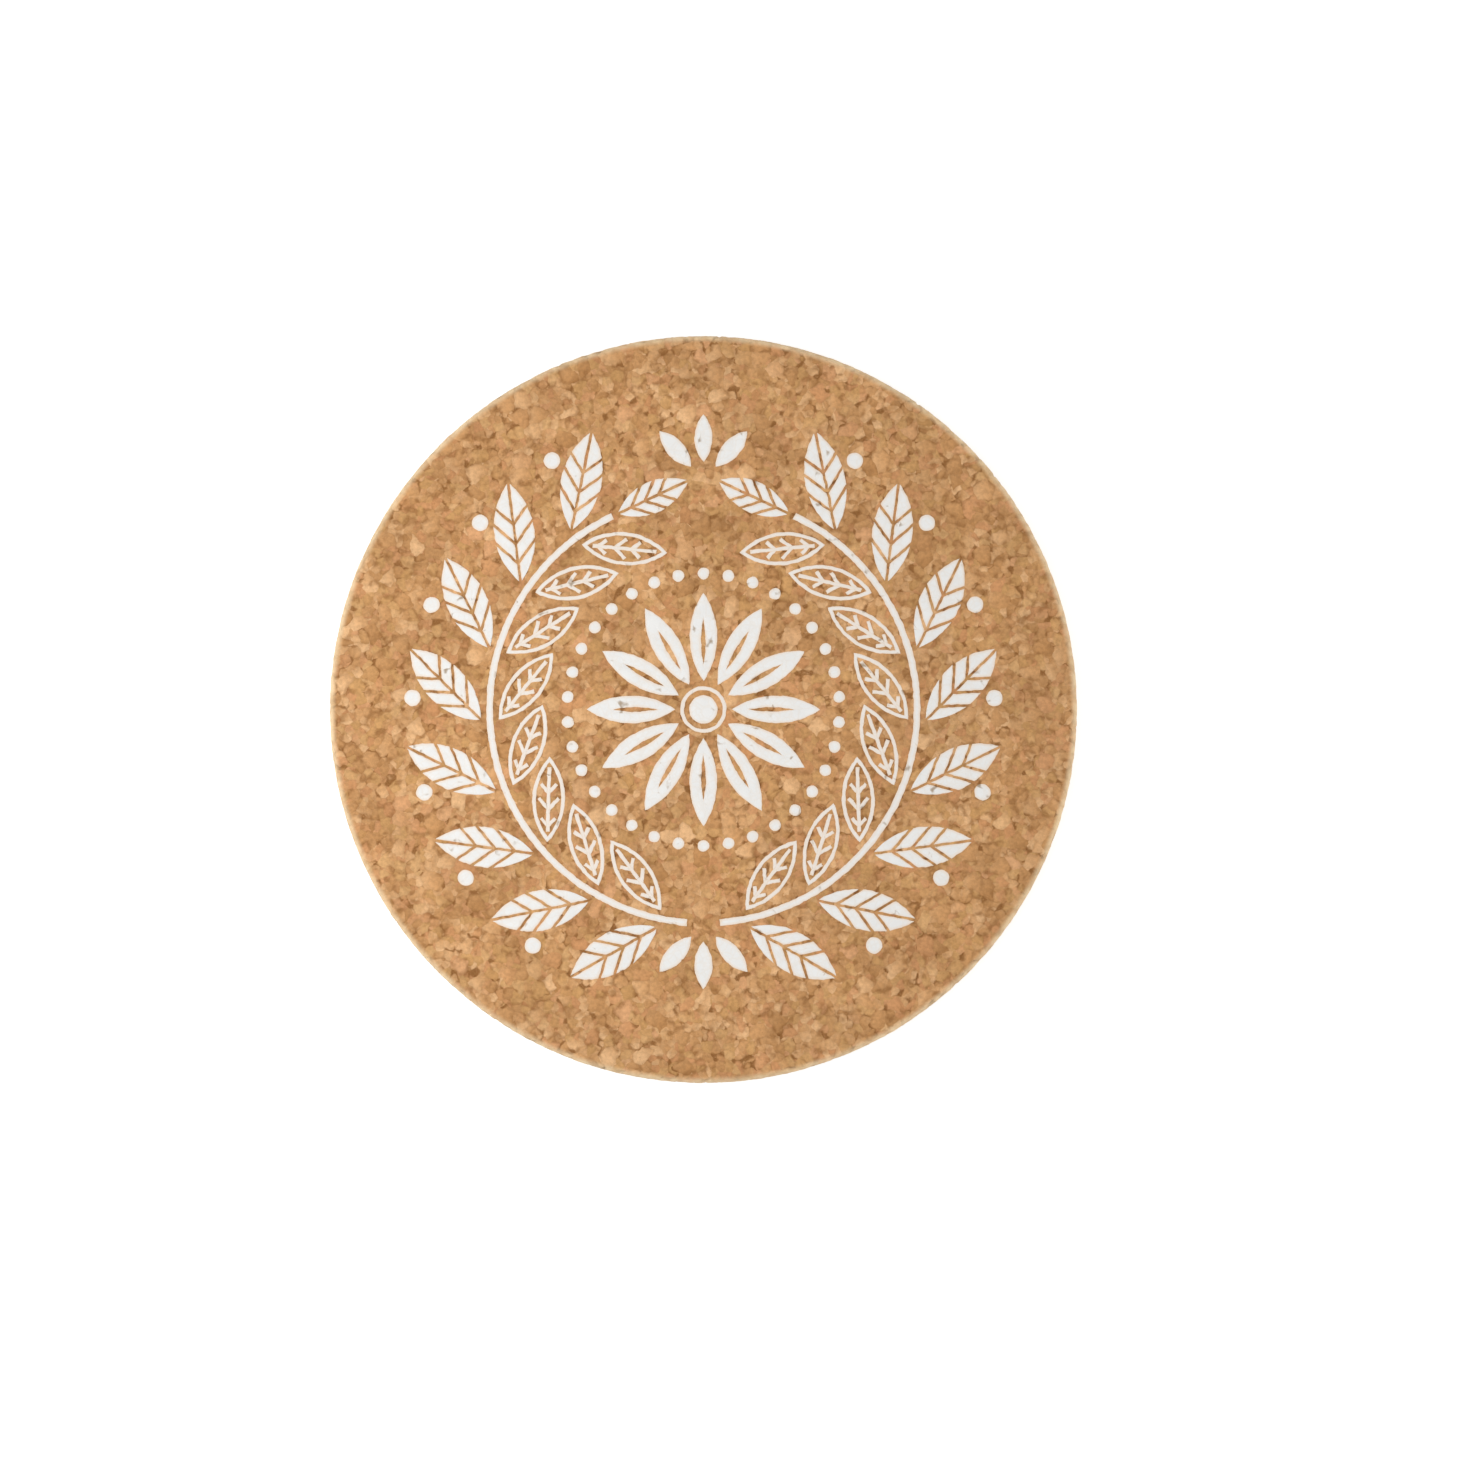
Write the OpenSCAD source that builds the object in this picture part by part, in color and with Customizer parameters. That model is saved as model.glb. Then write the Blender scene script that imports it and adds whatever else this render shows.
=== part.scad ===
// Round drink coaster: a disc of pressed cork granules with a white print on its upper face.
// The print is a wreath of two leafy branches around a rosette, laid down as a thin film of ink.
// The origin is the centre of the lower face, and +Z points out of the printed face.

/* [Cork disc] */
// Diameter of the disc
disc_d = 100; // [90:1:120]
// Thickness of the disc
disc_t = 4; // [3:0.5:8]
// Radius that eases the upper edge
top_round = 0.8; // [0.3:0.1:1.2]
// Radius that eases the lower edge
bottom_round = 0.5; // [0.3:0.1:1.2]

/* [Ink] */
// Thickness of the ink film
ink_t = 0.1; // [0.05:0.01:0.2]
// Bare cork between the edge of the disc and the print
bare_border = 10; // [8:0.5:14]
// Bare cork between neighbouring marks
mark_gap = 0.7; // [0.5:0.1:1]
// Width of a drawn line
line_w = 0.5; // [0.4:0.05:0.7]
// Width of a bare line left open inside or beside a mark
slit_w = 0.35; // [0.25:0.05:0.5]

/* [Branches] */
// Width of the stem of a branch
stem_w = 0.9; // [0.6:0.1:1.4]
// Bare cork between the feet of the two branches
foot_gap = 4.4; // [3:0.2:6]
// Bare cork between the tips of the two branches
tip_gap = 4; // [2:0.2:8]
// Angle between a leaf and its stem
leaf_tilt = 42; // [34:1:48]

/* [Leaves] */
// Length of a solid leaf, on the outer side of a branch
solid_leaf_len = 13.5; // [11:0.5:15]
// Width of a solid leaf
solid_leaf_w = 5.4; // [4:0.2:6.4]
// Length of an outlined leaf, on the inner side of a branch
outline_leaf_len = 11.5; // [9:0.5:13]
// Width of an outlined leaf
outline_leaf_w = 4.4; // [3.6:0.2:5.2]
// Length of the leaf at the tip of a branch
tip_leaf_len = 10.5; // [8:0.5:12]
// Width of the leaf at the tip of a branch
tip_leaf_w = 4.2; // [3:0.2:5]
// Length of a leaf of the small fans at the foot and the top of the wreath
fan_leaf_len = 6.4; // [5:0.2:8]
// Width of a leaf of the small fans
fan_leaf_w = 2.4; // [1.6:0.2:2.8]
// Side veins on each half of a leaf
side_veins = 3; // [2:1:4]
// Angle between a side vein and the midrib
vein_tilt = 42; // [36:1:50]

/* [Berries and beads] */
// Diameter of a berry between the tips of two solid leaves
berry_d = 2.2; // [1.6:0.1:3]
// Diameter of a bead in the ring around the rosette
bead_d = 1.6; // [1:0.1:2.2]
// Bare cork between two beads
bead_gap = 1.7; // [1:0.1:3]

/* [Rosette] */
// Petals in the rosette
petals = 12; // [8:1:16]
// Bare cork between the ring of beads and the petals
petal_margin = 1.8; // [1:0.1:3]
// Width of the bare slit in a petal
petal_slit_w = 0.6; // [0.4:0.05:0.8]
// Diameter of the eye of the rosette
eye_d = 3.8; // [2.5:0.1:5]

/* [Hidden] */
// Part of a leaf's length, from its foot, over which the side veins leave the midrib
vein_zone_share = 0.58;
// Part of the leaves' pitch from the foot of a stem to its first pair of leaves
first_pair_share = 0.4;
// Where a petal's slit starts, and how long it is, as parts of the petal's length
petal_slit_foot_share = 0.2;
petal_slit_len_share = 0.5;
// Leaves in a small fan
fan_leaves = 3;
// How far a cut runs past the mark that it opens
overrun = 1;
$fn = 96;

disc_r = disc_d / 2;
print_r = disc_r - bare_border;

// A leaf starts this far from the middle of its stem
leaf_standoff = stem_w / 2 + mark_gap;

// The tips of the solid leaves reach the edge of the print, which sets the radius of the stems
solid_rise = solid_leaf_len * sin(leaf_tilt);
solid_run = solid_leaf_len * cos(leaf_tilt);
stem_r = sqrt(print_r * print_r - solid_run * solid_run) - solid_rise - leaf_standoff;
outer_foot_r = stem_r + leaf_standoff;
inner_foot_r = stem_r - leaf_standoff;
wreath_inner_r = inner_foot_r - outline_leaf_len * sin(leaf_tilt);

// The stem ends where its tip leaf, straight on, reaches half the gap between the tips
tip_run = mark_gap + tip_leaf_len;
tip_r = sqrt(stem_r * stem_r + tip_run * tip_run);
stem_start = asin(foot_gap / 2 / stem_r) - 90;
stem_end = acos(tip_gap / 2 / tip_r) - atan(tip_run / stem_r);
stem_sweep = stem_end - stem_start;

// Least angle between leaves: for solid leaves side by side, outlined leaves side by side,
// and the tip of an outlined leaf beside the next one
solid_pitch = (solid_leaf_w + mark_gap) / (outer_foot_r * sin(leaf_tilt)) * 180 / PI;
outline_pitch = (outline_leaf_w + 2 * mark_gap) / (inner_foot_r * sin(leaf_tilt)) * 180 / PI;
axis_r = inner_foot_r * cos(leaf_tilt);
axis_left = inner_foot_r * sin(leaf_tilt) - outline_leaf_len;
tip_room = outline_leaf_w / 2 + mark_gap;
tip_pitch = (sqrt(axis_left * axis_left + 2 * axis_r * tip_room) - axis_left) / axis_r * 180 / PI;
leaf_pairs = floor(stem_sweep / max(solid_pitch, outline_pitch, tip_pitch));
leaf_pitch = stem_sweep / leaf_pairs;

// A berry sits on the edge of the print, half a pitch after the tip of a solid leaf
berry_r = print_r - berry_d / 2;
berry_lead = atan(solid_run / (outer_foot_r + solid_rise)) + leaf_pitch / 2;

bead_r = wreath_inner_r - mark_gap - bead_d / 2;
beads = floor(2 * PI * bead_r / (bead_d + bead_gap));

// Petals fill the space between the ring round the eye and the ring of beads,
// as wide as the gap to the next petal lets them be at each part of their length
eye_ring_r = eye_d / 2 + mark_gap;
petal_foot_r = eye_ring_r + line_w + mark_gap;
petal_tip_r = bead_r - bead_d / 2 - petal_margin;
petal_len = petal_tip_r - petal_foot_r;
station_shares = [0.1 : 0.05 : 0.9];
petal_w = min([for (s = station_shares)
    (2 * sin(180 / petals) * (petal_foot_r + petal_len * s) - mark_gap) / (4 * s * (1 - s))]);

// Radius of the two arcs that bound a leaf of this length and width
function arc_r(len, wid) = (len * len + wid * wid) / (4 * wid);

// Distance along the midrib to a side vein
function vein_foot(len, k) = len * vein_zone_share * k / side_veins;

// Length of a side vein from the midrib to a line drawn inset from the leaf's edge
function vein_reach(len, wid, x, inset) =
    let (r = arc_r(len, wid), rise = r - wid / 2, back = x - len / 2)
    let (b = back * cos(vein_tilt) + rise * sin(vein_tilt))
    let (c = back * back + rise * rise - (r - inset) * (r - inset))
    sqrt(b * b - c) - b;

// Angle between the midrib and the edge at the tip of a leaf
function tip_angle(len, wid) = asin(len / 2 / arc_r(len, wid));

// Distance from the tip of a leaf to the tip of the space inside its outline
function outline_tip(len, wid) =
    let (r = arc_r(len, wid), rise = r - wid / 2)
    len / 2 - sqrt((r - line_w) * (r - line_w) - rise * rise);

// Film of ink on the upper face, over a flat shape
module ink() {
    color("white")
        translate([0, 0, disc_t])
            linear_extrude(ink_t)
                children();
}

// The shape and its mirror image on the other branch
module both_branches() {
    children();
    mirror([1, 0])
        children();
}

// A leaf shape, drawn along +X, at each place of one side of the branches: 1 is outer, -1 is inner
module along_stems(side) {
    both_branches()
        for (i = [0 : leaf_pairs - 1])
            rotate(stem_start + (i + first_pair_share) * leaf_pitch)
                translate([stem_r + side * leaf_standoff, 0])
                    rotate(90 - side * leaf_tilt)
                        children();
}

// Pointed oval from the origin along +X, drawn in from its edge by inset
module lens(len, wid, inset = 0) {
    r = arc_r(len, wid);
    intersection() {
        translate([len / 2, wid / 2 - r])
            circle(r - inset);
        translate([len / 2, r - wid / 2])
            circle(r - inset);
    }
}

// Solid leaf opened by a bare midrib and bare side veins
module veined_leaf(len, wid) {
    difference() {
        lens(len, wid);
        translate([-overrun, -slit_w / 2])
            square([len + 2 * overrun, slit_w]);
        for (k = [1 : side_veins], side = [-1, 1])
            translate([vein_foot(len, k), 0])
                rotate(side * vein_tilt)
                    translate([0, -slit_w / 2])
                        square([wid, slit_w]);
    }
}

// Leaves spread evenly about +Y, from a bare middle
module fan() {
    for (i = [0 : fan_leaves - 1])
        rotate(90 + (i - (fan_leaves - 1) / 2) * leaf_tilt)
            translate([fan_leaf_w, 0])
                lens(fan_leaf_len, fan_leaf_w);
}

module cork_disc() {
    color([0.76, 0.57, 0.39])
        rotate_extrude() {
            square([disc_r - bottom_round, bottom_round]);
            translate([0, bottom_round])
                square([disc_r, disc_t - bottom_round - top_round]);
            translate([0, disc_t - top_round])
                square([disc_r - top_round, top_round]);
            translate([disc_r - bottom_round, bottom_round])
                circle(bottom_round);
            translate([disc_r - top_round, disc_t - top_round])
                circle(top_round);
        }
}

module printed_stems() {
    color("white")
        translate([0, 0, disc_t])
            both_branches()
                rotate(stem_start)
                    rotate_extrude(angle = stem_sweep)
                        translate([stem_r - stem_w / 2, 0])
                            square([stem_w, ink_t]);
}

module printed_solid_leaves() {
    ink()
        along_stems(1)
            veined_leaf(solid_leaf_len, solid_leaf_w);
}

module printed_leaf_outlines() {
    ink()
        along_stems(-1)
            difference() {
                lens(outline_leaf_len, outline_leaf_w);
                lens(outline_leaf_len, outline_leaf_w, line_w);
            }
}

module printed_leaf_veins() {
    start = outline_tip(outline_leaf_len, outline_leaf_w)
        + (line_w / 2 + slit_w) / tan(tip_angle(outline_leaf_len, outline_leaf_w));
    ink()
        along_stems(-1) {
            translate([start, -line_w / 2])
                square([outline_leaf_len - 2 * start, line_w]);
            for (k = [1 : side_veins], side = [-1, 1]) {
                foot = vein_foot(outline_leaf_len, k);
                reach = vein_reach(outline_leaf_len, outline_leaf_w, foot, line_w + slit_w);
                translate([foot, 0])
                    rotate(side * vein_tilt)
                        translate([0, -line_w / 2])
                            square([reach, line_w]);
            }
        }
}

module printed_tip_leaves() {
    ink()
        both_branches()
            rotate(stem_end)
                translate([stem_r, mark_gap])
                    rotate(90)
                        veined_leaf(tip_leaf_len, tip_leaf_w);
}

module printed_fan_leaves() {
    ink() {
        translate([0, tip_r])
            fan();
        translate([0, -stem_r])
            rotate(180)
                fan();
    }
}

module printed_berries() {
    ink()
        both_branches()
            for (i = [0 : leaf_pairs - 2])
                rotate(stem_start + (i + first_pair_share) * leaf_pitch + berry_lead)
                    translate([berry_r, 0])
                        circle(d = berry_d);
}

module printed_beads() {
    ink()
        for (i = [0 : beads - 1])
            rotate(i * 360 / beads)
                translate([0, bead_r])
                    circle(d = bead_d);
}

module printed_petals() {
    ink()
        for (i = [0 : petals - 1])
            rotate(i * 360 / petals)
                translate([petal_foot_r, 0])
                    difference() {
                        lens(petal_len, petal_w);
                        translate([petal_len * petal_slit_foot_share, 0])
                            lens(petal_len * petal_slit_len_share, petal_slit_w);
                    }
}

module printed_eye_ring() {
    ink()
        difference() {
            circle(eye_ring_r + line_w);
            circle(eye_ring_r);
        }
}

module printed_eye() {
    ink()
        circle(d = eye_d);
}

cork_disc();
printed_stems();
printed_solid_leaves();
printed_leaf_outlines();
printed_leaf_veins();
printed_tip_leaves();
printed_fan_leaves();
printed_berries();
printed_beads();
printed_petals();
printed_eye_ring();
printed_eye();
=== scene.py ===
"""Round cork drink coaster with a white printed wreath, dressed around its CAD model.

Lengths are in metres, in the frame of the CAD model: the origin is the centre of the lower face,
+Z points out of the printed face and +Y to the top of the print.
"""

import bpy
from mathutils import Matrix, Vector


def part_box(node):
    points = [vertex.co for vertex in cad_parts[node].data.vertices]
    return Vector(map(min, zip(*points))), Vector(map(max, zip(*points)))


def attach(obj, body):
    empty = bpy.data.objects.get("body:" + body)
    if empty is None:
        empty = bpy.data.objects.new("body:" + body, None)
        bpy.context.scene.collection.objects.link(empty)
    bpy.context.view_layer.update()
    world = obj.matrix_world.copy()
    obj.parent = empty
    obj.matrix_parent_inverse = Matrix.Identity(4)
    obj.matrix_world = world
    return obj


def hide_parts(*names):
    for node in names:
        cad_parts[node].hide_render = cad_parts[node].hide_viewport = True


bl_info = {
    "name": "Cork Drink Coaster",
    "version": (1, 0, 0),
    "blender": (4, 5, 0),
    "location": "View3D > Sidebar > Coaster",
    "description": "Builds a round coaster of pressed cork granules with a white printed wreath",
    "category": "Add Mesh",
}

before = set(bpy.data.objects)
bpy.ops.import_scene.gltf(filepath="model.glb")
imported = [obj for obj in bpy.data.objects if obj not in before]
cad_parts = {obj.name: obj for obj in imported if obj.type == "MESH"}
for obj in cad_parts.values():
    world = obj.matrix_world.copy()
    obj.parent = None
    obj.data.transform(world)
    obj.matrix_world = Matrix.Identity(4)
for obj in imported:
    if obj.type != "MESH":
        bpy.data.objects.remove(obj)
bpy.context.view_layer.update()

import math
from types import SimpleNamespace

import bpy
import numpy as np
from bpy.props import FloatProperty, FloatVectorProperty, IntProperty, PointerProperty
from mathutils import Color, Vector

BODY = "root"

# Sizes of the CAD model
DISC_LOW, DISC_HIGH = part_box("cork_disc")
DISC_R = (DISC_HIGH.x - DISC_LOW.x) / 2
DISC_T = DISC_HIGH.z - DISC_LOW.z
INK_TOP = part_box("printed_eye")[1].z
INK_T = INK_TOP - DISC_T

# Rings of each half of the disc's mesh: in all, over the eased edge and down the wall
TOP_RINGS = 136
TOP_EDGE_RINGS = 6
TOP_WALL_RINGS = 5
BOTTOM_RINGS = TOP_RINGS // 2
BOTTOM_EDGE_RINGS = 3
BOTTOM_WALL_RINGS = 2

# Parts of the wall that belong to the upper and the lower half of the mesh, with a belt between them
TOP_WALL = 0.62
BOTTOM_WALL = 0.26

# Map of the disc: radius of the round islands of the upper and the lower half, and their margin
MAP_NAME = "OFBake"
TOP_ISLAND = 0.375
BOTTOM_ISLAND = 0.2
MAP_MARGIN = 0.004

# Soft noise mostly lies between these
NOISE_LOW = 0.3
NOISE_HIGH = 0.7

# Sizes of noise in granules: what bends them, and the widest clouds of colour
BEND_NOISE = 0.7
CLOUD_NOISE = 3

# Sizes of noise in fragments: what moves the edges of granules and of ink
CRIMP_NOISE = 0.4
STRAY_NOISE = 0.7
TREMBLE_NOISE = 0.3

# Sizes of noise in fragments: specks, blotches and the changing darkness of the joints of the cork, and
# specks of the ink
FINE_NOISE = 0.12
BLOTCH_NOISE = 0.4
JOINT_DARK_NOISE = 0.9
INK_NOISE = 0.25

# Random numbers between which granules turn reddish or olive
RED_HUES = (0.72, 0.9)
OLIVE_HUES = (0.1, 0.28)

# Noise between which pores open, joints darken with dark binder and painted shade, and pits show through the
# ink
PORE_RANGE = (0.6, 0.72)
JOINT_SHADE_RANGE = (0.53, 0.75)
PINHOLE_RANGE = (0.54, 0.66)

# How dark the palest spots of the dark gaps and their painted shade are
GAP_SHADE_LEAST = 0.75

# Finishes: least and most roughness, gloss, and the strength and height of the finest bumps
CORK_FINISH = SimpleNamespace(roughness=(0.78, 0.92), gloss=0.15, bump=0.5, bump_h=0.000072)
INK_FINISH = SimpleNamespace(roughness=(0.55, 0.72), gloss=0.3, bump=0.3, bump_h=0.00006)

# Where the upper edge's paleness, partly cut cork and partly painted light, starts and is full, in from the
# wall, in radii of that edge
PALE_ACROSS = (1.38, 0.1)

# Where it has faded to the wall's and where it starts to fade, down from the face, in the same radii
PALE_DOWN = (1.7, 0.7)

# Length of the lines that fill a leaf's lobe, in parts of the leaf's width
LOBE_REACH = 0.6

# Parts of a petal's length at which the room between petals is measured
PETAL_STATIONS = np.linspace(0.1, 0.9, 17)


def number(name, description, default):
    """A property that holds a plain number."""
    return FloatProperty(name=name, description=description, default=default)


def tally(name, description, default):
    """A property that holds a count."""
    return IntProperty(name=name, description=description, default=default)


def length(name, description, default):
    """A property that holds a length."""
    return FloatProperty(name=name, description=description, default=default, unit="LENGTH", precision=5)


def angle(name, description, degrees):
    """A property that holds an angle."""
    return FloatProperty(name=name, description=description, default=math.radians(degrees), subtype="ANGLE")


def share(name, description, default):
    """A property that holds a part of a whole."""
    return FloatProperty(name=name, description=description, default=default, subtype="FACTOR",
                         min=0, max=1)


def colour(name, description, default):
    """A property that holds a colour as it looks on a screen."""
    return FloatVectorProperty(name=name, description=description, default=default,
                               subtype="COLOR_GAMMA", size=3, min=0, max=1)


def spot(name, description, default):
    """A property that holds a place."""
    return FloatVectorProperty(name=name, description=description, default=default, subtype="XYZ",
                               unit="LENGTH", size=3)


class CoasterCork(bpy.types.PropertyGroup):
    """Shape, grain and colours of the cork disc"""

    top_round: length("Upper edge", "Radius that eases the upper edge", 0.0008)
    bottom_round: length("Lower edge", "Radius that eases the lower edge", 0.0005)
    granule: length("Granule", "Usual size of a whole granule", 0.002)
    fragment: length("Fragment", "Usual size of a granule that was crushed", 0.0012)
    crushed: share("Crushed share", "Part of the granules that are crushed into fragments", 0.78)
    likeness: share("Likeness", "How far a fragment keeps the tone of its granule", 0.4)
    flatness: number("Flatness", "How much wider than high the granules are", 1.3)
    bend: share("Bend", "How far noise bends a granule, in parts of its size", 0.36)
    crimp: share("Crimp", "How far noise bends a granule's edge, in parts of a fragment", 0.22)
    sink: length("Sink", "How far a low granule lies under a high one", 0.00005)
    crown: length("Crown", "How far a granule falls away towards its joints", 0.00005)
    crown_w: length("Crown width", "How wide a granule falls away towards its joints", 0.00044)
    pit_depth: length("Pit depth", "Depth of an open gap between granules", 0.00022)
    pit_start: share("Pit start", "How far from a granule's seed a pit starts, in its size", 0.7)
    pit_full: share("Pit floor", "How far from a granule's seed a pit is deepest, in its size", 0.98)
    pit_play: share("Pit play", "How far noise moves the start of the pits, in granules", 0.16)
    # Darkening beside the joints is partly dark binder and partly painted shade between the granules; the
    # darkest joints carry most of both
    joint_w: length("Joint width", "How wide a joint darkens the granules beside it", 0.0005)
    joint_low: share("Clear joint", "How dark most joints are", 0.02)
    joint_high: share("Worn joint", "How dark the darkest joints are", 0.66)
    # Painted shade: a granule's tone grows lighter or darker along its slope, as a tilted granule would be
    # lit
    tilt: share("Tilt", "How far a granule's slope changes its tone", 0.7)
    tinge: share("Tinge", "How far a granule turns reddish or olive", 0.62)
    # Painted shade: each granule darker beside its joints and lighter inside, as a rounded granule would be
    # lit
    shade_w: length("Shade width", "How wide a granule is shaded towards its joints", 0.00063)
    shade_low: number("Shade", "Brightness beside a joint", 0.96)
    shade_high: number("Crest", "Brightness inside a granule", 1.03)
    line_w: length("Joint line", "Half the width of the thin dark line along a joint", 0.0001)
    line_low: share("Faint line", "How much that line darkens a clear joint", 0.02)
    line_high: share("Dark line", "How much that line darkens a worn joint", 0.06)
    pores: share("Pores", "How dark the finest pores are", 0.4)
    speckle: share("Speckle", "How far fine noise changes the brightness", 0.05)
    blotch: share("Blotch", "How far noise as wide as half a fragment changes the brightness", 0.1)
    cloud: share("Cloud", "How far noise as wide as several granules changes the brightness", 0.06)
    # The pale edge is partly paler cut cork and partly painted light on the eased edge, which turns away
    # from the lamps
    pale: share("Pale edge", "How pale the eased upper edge is", 0.9)
    pale_loss: share("Patchy edge", "How much of that paleness the edge lacks in places", 0.4)
    pale_wall: share("Pale wall", "How much of that paleness the wall has", 0.3)
    dark: colour("Dark granule", "Colour of the darkest granules", (0.712, 0.517, 0.324))
    middle: colour("Middle granule", "Colour of most granules", (0.794, 0.595, 0.397))
    light: colour("Light granule", "Colour of the lightest granules", (0.894, 0.711, 0.519))
    red: colour("Reddish granule", "Colour of the reddish granules", (0.81, 0.577, 0.396))
    olive: colour("Olive granule", "Colour of the yellowish granules", (0.79, 0.606, 0.385))
    # Also the colour of the painted shade beside the joints and in the pits
    pit: colour("Pit", "Colour inside an open gap", (0.555, 0.372, 0.195))
    # Partly painted light: this pale colour also keeps the eased edge bright
    cut: colour("Cut edge", "Colour of the freshly cut edge", (0.98, 0.88, 0.72))
    crease: number("Crease", "Depth of a joint's crease beside the finest bumps", 0.4)


class CoasterPrint(bpy.types.PropertyGroup):
    """Sizes of the printed marks, the same as in the CAD model"""

    bare_border: length("Bare border", "Bare cork between the edge and the print", 0.010)
    mark_gap: length("Mark gap", "Bare cork between neighbouring marks", 0.0007)
    line_w: length("Line", "Width of a drawn line", 0.0005)
    slit_w: length("Slit", "Width of a bare line inside or beside a mark", 0.00035)
    stem_w: length("Stem", "Width of a stem", 0.0009)
    foot_gap: length("Foot gap", "Bare cork between the feet of the branches", 0.0044)
    tip_gap: length("Tip gap", "Bare cork between the tips of the branches", 0.004)
    leaf_tilt: angle("Leaf tilt", "Angle between a leaf and its stem", 42)
    solid_leaf_len: length("Solid leaf length", "Length of a solid leaf", 0.0135)
    solid_leaf_w: length("Solid leaf width", "Width of a solid leaf", 0.0054)
    outline_leaf_len: length("Outlined leaf length", "Length of an outlined leaf", 0.0115)
    outline_leaf_w: length("Outlined leaf width", "Width of an outlined leaf", 0.0044)
    tip_leaf_len: length("Tip leaf length", "Length of the leaf at a branch's tip", 0.0105)
    tip_leaf_w: length("Tip leaf width", "Width of the leaf at a branch's tip", 0.0042)
    fan_leaf_len: length("Fan leaf length", "Length of a leaf of the small fans", 0.0064)
    fan_leaf_w: length("Fan leaf width", "Width of a leaf of the small fans", 0.0024)
    fan_leaves: tally("Fan leaves", "Leaves in a small fan", 3)
    side_veins: tally("Side veins", "Side veins on each half of a leaf", 3)
    vein_tilt: angle("Vein tilt", "Angle between a side vein and the midrib", 42)
    vein_zone: share("Vein zone", "Part of a leaf's length where side veins leave the midrib", 0.58)
    first_pair: share("First pair", "Part of the leaves' pitch below the first pair of leaves", 0.4)
    berry_d: length("Berry", "Diameter of a berry", 0.0022)
    bead_d: length("Bead", "Diameter of a bead", 0.0016)
    bead_gap: length("Bead gap", "Bare cork between two beads", 0.0017)
    petals: tally("Petals", "Petals in the rosette", 12)
    petal_margin: length("Petal margin", "Bare cork between the beads and the petals", 0.0018)
    petal_slit_w: length("Petal slit", "Width of the bare slit in a petal", 0.0006)
    petal_slit_foot: share("Slit foot", "Part of a petal's length below its slit", 0.2)
    petal_slit_len: share("Slit length", "Part of a petal's length that is slit", 0.5)
    eye_d: length("Eye", "Diameter of the eye of the rosette", 0.0038)


class CoasterInk(bpy.types.PropertyGroup):
    """Finish of the ink film"""

    grid: length("Grid", "Size of a mesh cell of the film", 0.00036)
    wander: length("Wander", "How far the edge of a mark strays from its drawn line", 0.00009)
    drape: share("Drape", "How far the film follows the cork's relief", 0.8)
    dip: share("Dip", "How far the film may dip under the cork's face, in its thickness", 0.9)
    edge_t: length("Edge thickness", "Thickness of the film at its edge", 0.00004)
    sharp: angle("Sharp edge", "Turn of the surface from which an edge of the film is sharp", 50)
    white: colour("Ink", "Colour of the ink", (0.924, 0.92, 0.91))
    cream: colour("Edge ink", "Colour of the ink towards its edges, where it thins", (0.94, 0.83, 0.72))
    cream_w: length("Thinning width", "How far in from its edges the ink thins", 0.0005)
    cream_part: share("Thinning", "How far the ink takes that colour at its edges", 0.5)
    thin: colour("Thin ink", "Colour of ink that the cork shows through", (0.91, 0.83, 0.73))
    thin_w: length("Thin line", "How far from a joint of the cork the ink is thin", 0.000144)
    thin_part: share("Thin joints", "How far the ink over a joint takes that colour", 0.16)
    rag: length("Rag", "How wide the ragged line along an edge is", 0.0002)
    rag_part: share("Ragged ink", "How far the ink in that line takes the colour of thin ink", 0.7)
    speck: colour("Speck", "Colour of a pinhole in the ink", (0.68, 0.61, 0.53))
    cloud: share("Cloud", "How far soft noise changes the brightness", 0.02)


class CoasterStage(bpy.types.PropertyGroup):
    """Camera, floor and light"""

    frame_w: length("Frame width", "Width of the picture at the printed face", 0.19495)
    camera_x: length("Camera across", "How far right of the coaster's centre the camera looks", 0.00355)
    camera_y: length("Camera up", "How far above the coaster's centre the camera looks", -0.00274)
    lens: number("Lens", "Focal length in millimetres", 100)
    floor_r: length("Floor", "Half the width of the floor", 3.0)
    floor_white: share("Floor white", "How much of the light the floor throws back", 0.78)
    floor_glow: share("Floor glow", "White added to the floor in the picture alone", 0.58)
    sky: number("Sky", "Strength of the light from all sides", 0.56)
    lamp: share("Lamp", "Part of white that the soft lamp adds on the face", 0.5)
    lamp_size: length("Lamp size", "Width of the soft lamp", 0.2)
    lamp_at: spot("Lamp place", "Where the soft lamp hangs", (-0.12, -0.004, 0.15))
    fill: share("Fill", "Part of white that the low fill lamp adds on the face", 0.09)
    fill_size: length("Fill size", "Width of the fill lamp", 0.3)
    fill_at: spot("Fill place", "Where the fill lamp stands", (0.4, -0.05, 0.12))


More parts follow.
